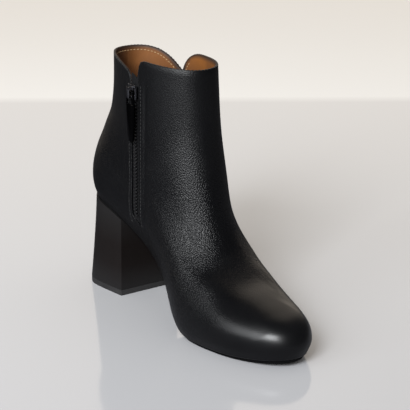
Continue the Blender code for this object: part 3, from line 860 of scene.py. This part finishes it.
def raise_flanges(mesh, shape):
    """Lifts the folded leather on both sides of the zip, with a pressed line at its far edge."""
    xyz = vertex_rows(mesh, "co")
    width = shape.flange_width
    away = np.abs(xyz[:, 1] - ZIP_Y) - shape.slot_half
    lift = shape.flange_rise * (1 - smooth_step(away, FLANGE_FLAT * width, width))
    lift -= FLANGE_LINE_DEPTH * np.exp(-((away - FLANGE_LINE_AT * width) / FLANGE_LINE_WIDTH) ** 2)
    ends = smooth_step(xyz[:, 2], *FLANGE_FOOT) * (1 - smooth_step(xyz[:, 2], *FLANGE_HEAD))
    side = (xyz[:, 0] < 0) & vertices_of(mesh, LEATHER) & (away < 2 * width)
    xyz[side, 0] -= (lift * ends)[side]
    place_vertices(mesh, xyz)


def mark_rim(upper, shape):
    """Stores how near each point is to the collar's raw edge: 1 on it, 0 out of reach."""
    mesh = upper.data
    edge = surface(upper, RAW_EDGE)
    away = np.array([edge.find_nearest(v.co)[3] for v in mesh.vertices])
    reach = np.array([shape.rim_width if v.co.y > NOTCH_Y else shape.rim_front for v in mesh.vertices])
    rim = mesh.attributes.new("rim", "FLOAT", "POINT")
    rim.data.foreach_set("value", 1 - smooth_step(away, RIM_FULL * reach, reach))


class BOOT_OT_upper(Operator):
    """Smooth the leather upper, sort its faces into leather, raw edge and lining, and press in its creases"""

    bl_idname = "boot.make_upper"
    bl_label = "Upper"

    def execute(self, context):
        shape, finish = context.scene.boot_shape, context.scene.boot_finish
        bm = merged_copy("upper")
        to_quads(bm)
        sort_wall(bm)
        upper = to_object("upper_leather", bm, black_leather(finish), raw_edge(finish), tan_lining(finish))
        subdivide(upper, shape.upper_levels, apply=True)
        mark_rim(upper, shape)
        press(upper, CREASES, LEATHER, shape.crease_amount)
        raise_flanges(upper.data, shape)
        press(upper, SEAMS, LEATHER)
        press(upper, LINING_SEAMS, LINING)
        carry(upper, "boot", "upper_leather", "upper")
        return {"FINISHED"}


# Stitching

def collar_chain(upper):
    """The collar's edge as points in order, from one side of the zip to the other."""
    bm = bmesh.new()
    bm.from_mesh(upper.data)
    rim = [e for e in bm.edges if {f.material_index for f in e.link_faces} == {LEATHER, RAW_EDGE}]
    links = {}
    for edge in rim:
        for v in edge.verts:
            links.setdefault(v.index, []).append(edge.other_vert(v).index)
    places = {v.index: v.co.copy() for v in bm.verts if v.index in links}
    bm.free()
    ends = sorted(k for k, near in links.items() if len(near) == 1)
    if len(ends) < 2:
        raise RuntimeError("the collar's edge has no two ends at the zip")
    start = min(ends, key=lambda k: places[k].y)
    chain = [start]
    while True:
        following = [k for k in links[chain[-1]] if k not in chain[-2:]]
        if not following:
            return [places[k] for k in chain]
        chain.append(following[0])


def inset_row(chain, tree, inset):
    """A line on a surface beside an edge, moved down from it."""
    row = []
    for before, here, after in zip(chain, chain[1:], chain[2:]):
        _, out, _, _ = tree.find_nearest(here)
        along = (after - before).normalized()
        down = along.cross(out).normalized()
        if down.z > 0:
            down.negate()
        row.append(tree.find_nearest(here + down * inset)[0])
    return row


def zip_row(leather, y):
    """A line up the leather beside the zip."""
    heights = np.linspace(*ZIP_SEWN, ZIP_ROW_POINTS)
    return [leather.ray_cast(Vector((RAY_START, y, z)), RAY_WAY)[0] for z in heights]


def stitch_shape(shape):
    """One stitch: a slim thread with rounded ends, along x."""
    bm = bmesh.new()
    bmesh.ops.create_uvsphere(bm, u_segments=8, v_segments=5, radius=1.0)
    size = Matrix.Diagonal((shape.stitch_length / 2, shape.thread / 2, STITCH_FLAT * shape.thread, 1.0))
    bmesh.ops.transform(bm, matrix=size, verts=bm.verts)
    return small_mesh(bm)


def sewn(name, shape, places, material):
    """Stitches at places, each half sunk."""
    bm = bmesh.new()
    stitch = stitch_shape(shape)
    for at, along, out in places:
        across = out.cross(along).normalized()
        stamp(bm, stitch, turned(at + out * STITCH_RISE * shape.thread, along, across, out))
    bpy.data.meshes.remove(stitch)
    return to_object(name, bm, material)


class BOOT_OT_stitching(Operator):
    """Sew the rows of stitches along the collar, the lining, the zip and the side seam"""

    bl_idname = "boot.make_stitching"
    bl_label = "Stitching"

    def execute(self, context):
        shape, finish = context.scene.boot_shape, context.scene.boot_finish
        upper = bpy.data.objects["upper_leather"]
        leather, lining = surface(upper, LEATHER), surface(upper, LINING)
        chain = collar_chain(upper)
        beside_zip = shape.slot_half + shape.stitch_inset
        rows = [
            inset_row(chain, leather, shape.stitch_inset),
            zip_row(leather, ZIP_Y - beside_zip),
            zip_row(leather, ZIP_Y + beside_zip),
            [p * MM + SEAM_TO_ROW for p in curve_through(SIDE_SEAM.points, SEAM_ROW_POINTS)],
        ]
        places = [place for row in rows for place in laid_on(leather, row, shape.stitch_pitch)]
        dark = sewn("stitching_black", shape, places, thread("black thread", finish.thread_black))
        carry(dark, "boot", "upper_leather")
        row = inset_row(chain, lining, LINING_INSET * shape.stitch_inset)
        places = [p for p in laid_on(lining, row, shape.stitch_pitch) if p.at.y > NOTCH_Y]
        tan = sewn("stitching_tan", shape, places, thread("tan thread", finish.thread_tan))
        carry(tan, "boot", "insole_leather")
        return {"FINISHED"}


# Sole and heel

def rounded_piece(name, node, material, width, slot):
    """A node's copy with rounded edges and smooth sides."""
    bm = merged_copy(node)
    to_quads(bm)
    round_edges(bm, sharp_edges(bm, ROUNDED_BEND), width)
    piece = to_object(name, bm, material)
    subdivide(piece, PIECE_LEVELS)
    carry(piece, "boot", slot, node)


class BOOT_OT_sole(Operator):
    """Round the outsole's edges, give it its fine tread, and lay the insole"""

    bl_idname = "boot.make_sole"
    bl_label = "Sole and insole"

    def execute(self, context):
        shape, finish = context.scene.boot_shape, context.scene.boot_finish
        rubber = sole_rubber("sole rubber", finish.rubber, shine=0.12, tread=shape.tread_pitch)
        rounded_piece("outsole_rubber", "outsole", rubber, shape.sole_round, "sole_rubber")
        rounded_piece("insole_leather", "insole", tan_lining(finish), shape.sole_round, "insole_leather")
        return {"FINISHED"}


class BOOT_OT_heel(Operator):
    """Round the edges of the covered heel block and its rubber tip"""

    bl_idname = "boot.make_heel"
    bl_label = "Heel"

    def execute(self, context):
        shape, finish = context.scene.boot_shape, context.scene.boot_finish
        rounded_piece("heel_cover", "heel", heel_cover(finish), shape.heel_round, "heel_cover")
        tip = sole_rubber("heel tip rubber", finish.tip)
        rounded_piece("heel_top_piece", "heel_tip", tip, shape.tip_round, "tip_rubber")
        return {"FINISHED"}


# Zip

def tooth_shape(shape):
    """One moulded tooth with rounded edges: x along the zip, y across it, z outward."""
    bm = bmesh.new()
    bmesh.ops.create_cube(bm, size=1.0)
    size = Matrix.Diagonal((TOOTH_SHARE * shape.tooth_pitch, shape.tooth_width, shape.tooth_height, 1.0))
    bmesh.ops.transform(bm, matrix=size, verts=bm.verts)
    round_edges(bm, bm.edges[:], shape.tooth_round)
    return small_mesh(bm)


class BOOT_OT_zip(Operator):
    """Weave the zip's tape and set its interlocking teeth"""

    bl_idname = "boot.make_zip"
    bl_label = "Zip"

    def execute(self, context):
        shape, finish = context.scene.boot_shape, context.scene.boot_finish
        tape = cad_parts["zip_tape"]
        tape.data.materials.clear()
        tape.data.materials.append(zip_cloth(finish))
        tree = surface(tape)
        tooth = tooth_shape(shape)
        bm = bmesh.new()
        run = CHAIN_HIGH.z - CHAIN_LOW.z
        count = 2 * int(run / shape.tooth_pitch)
        for k in range(count):
            side = 1 if k % 2 else -1
            start = Vector((RAY_START, ZIP_Y, CHAIN_LOW.z + (k + 0.5) * run / count))
            at, out, _, _ = tree.ray_cast(start, RAY_WAY)
            if at is None:
                raise RuntimeError("the zip's tape doesn't reach behind a tooth")
            across = (Vector((0, 1, 0)) - out * out.y).normalized()
            along = across.cross(out).normalized()
            middle = at + across * side * shape.tooth_offset + out * shape.tooth_rise
            stamp(bm, tooth, turned(middle, along, across, out))
        bpy.data.meshes.remove(tooth)
        carry(to_object("zip_chain", bm, zip_nylon(finish)), "boot", "zip_nylon", "zip_teeth")
        return {"FINISHED"}


def softened_metal(name, node, material, width, body, slot):
    """A node's copy with small rounded edges and flat faces kept flat."""
    bm = merged_copy(node)
    bmesh.ops.dissolve_limit(bm, angle_limit=math.radians(METAL_FLAT), verts=bm.verts, edges=bm.edges)
    round_edges(bm, sharp_edges(bm, METAL_BEND), width, segments=3)
    piece = to_object(name, bm, material)
    piece.data.set_sharp_from_angle(angle=math.radians(METAL_SHARP))
    carry(piece, body, slot, node)


class BOOT_OT_slider(Operator):
    """Round the zip's slider and its pull tab"""

    bl_idname = "boot.make_slider"
    bl_label = "Slider and pull tab"

    def execute(self, context):
        shape, finish = context.scene.boot_shape, context.scene.boot_finish
        plated = dark_metal("black plated metal", finish.metal)
        enamel = dark_metal("black enamelled metal", finish.pull)
        softened_metal("slider_plated", "zip_slider", plated, shape.metal_round, "boot", "slider_metal")
        softened_metal("pull_tab", "zip_pull", enamel, shape.metal_round, "pull", "pull_metal")
        return {"FINISHED"}


# Stage

def turn_to(obj, place, aim, roll=0.0):
    """Sets a light or a camera at a place, facing a point."""
    obj.location = place
    look = (Vector(aim) - Vector(place)).to_track_quat("-Z", "Y").to_matrix()
    obj.rotation_euler = (look @ Matrix.Rotation(roll, 3, "Z")).to_euler()


def soft_light(lamp, power, aim):
    """A large soft light that faces a point."""
    light = bpy.data.lights.new(lamp.name, "AREA")
    light.shape = "RECTANGLE"
    light.size, light.size_y = lamp.size
    light.energy = power
    light.color = lamp.tint
    turn_to(linked(lamp.name, light), lamp.place, aim)


class BOOT_OT_stage(Operator):
    """Lay the floor and set the lights and the camera"""

    bl_idname = "boot.make_stage"
    bl_label = "Stage"

    def execute(self, context):
        scene, stage = context.scene, context.scene.boot_stage
        bm = bmesh.new()
        bmesh.ops.create_grid(bm, x_segments=1, y_segments=1, size=FLOOR_HALF)
        floor = to_object("floor", bm, pale_floor(stage))
        scene.world = surround(stage)
        scene.view_settings.view_transform = "Standard"
        for lamp in LAMPS:
            soft_light(lamp, getattr(stage, lamp.power), (CAD_LOW + CAD_HIGH) / 2)
        camera = bpy.data.cameras.new("camera")
        camera.lens = stage.camera_lens
        camera.sensor_width = SENSOR_MM
        scene.camera = linked("camera", camera)
        turn_to(scene.camera, stage.camera_place, stage.camera_aim, stage.camera_roll)
        return {"FINISHED"}


class BOOT_PT_panel(Panel):
    """Pieces and sizes of the boot"""

    bl_label = "Ankle boot"
    bl_idname = "BOOT_PT_panel"
    bl_space_type = "VIEW_3D"
    bl_region_type = "UI"
    bl_category = "Boot"

    def draw(self, context):
        for maker in MAKERS:
            self.layout.operator(maker.bl_idname)
        for group in (context.scene.boot_shape, context.scene.boot_finish, context.scene.boot_stage):
            box = self.layout.box()
            for key in group.bl_rna.properties.keys():
                if key not in ("rna_type", "name"):
                    box.prop(group, key)


MAKERS = (
    BOOT_OT_upper, BOOT_OT_stitching, BOOT_OT_sole, BOOT_OT_heel, BOOT_OT_zip, BOOT_OT_slider, BOOT_OT_stage)
CLASSES = (BootShape, BootFinish, BootStage, *MAKERS, BOOT_PT_panel)


def register():
    """Adds the classes and the scene's settings."""
    for kind in CLASSES:
        bpy.utils.register_class(kind)
    bpy.types.Scene.boot_shape = PointerProperty(type=BootShape)
    bpy.types.Scene.boot_finish = PointerProperty(type=BootFinish)
    bpy.types.Scene.boot_stage = PointerProperty(type=BootStage)


def unregister():
    """Removes them again."""
    del bpy.types.Scene.boot_stage
    del bpy.types.Scene.boot_finish
    del bpy.types.Scene.boot_shape
    for kind in reversed(CLASSES):
        bpy.utils.unregister_class(kind)


def main():
    """Makes every piece and the stage."""
    register()
    bpy.ops.boot.make_upper()
    bpy.ops.boot.make_stitching()
    bpy.ops.boot.make_sole()
    bpy.ops.boot.make_heel()
    bpy.ops.boot.make_zip()
    bpy.ops.boot.make_slider()
    bpy.ops.boot.make_stage()


if __name__ == "__main__":
    main()
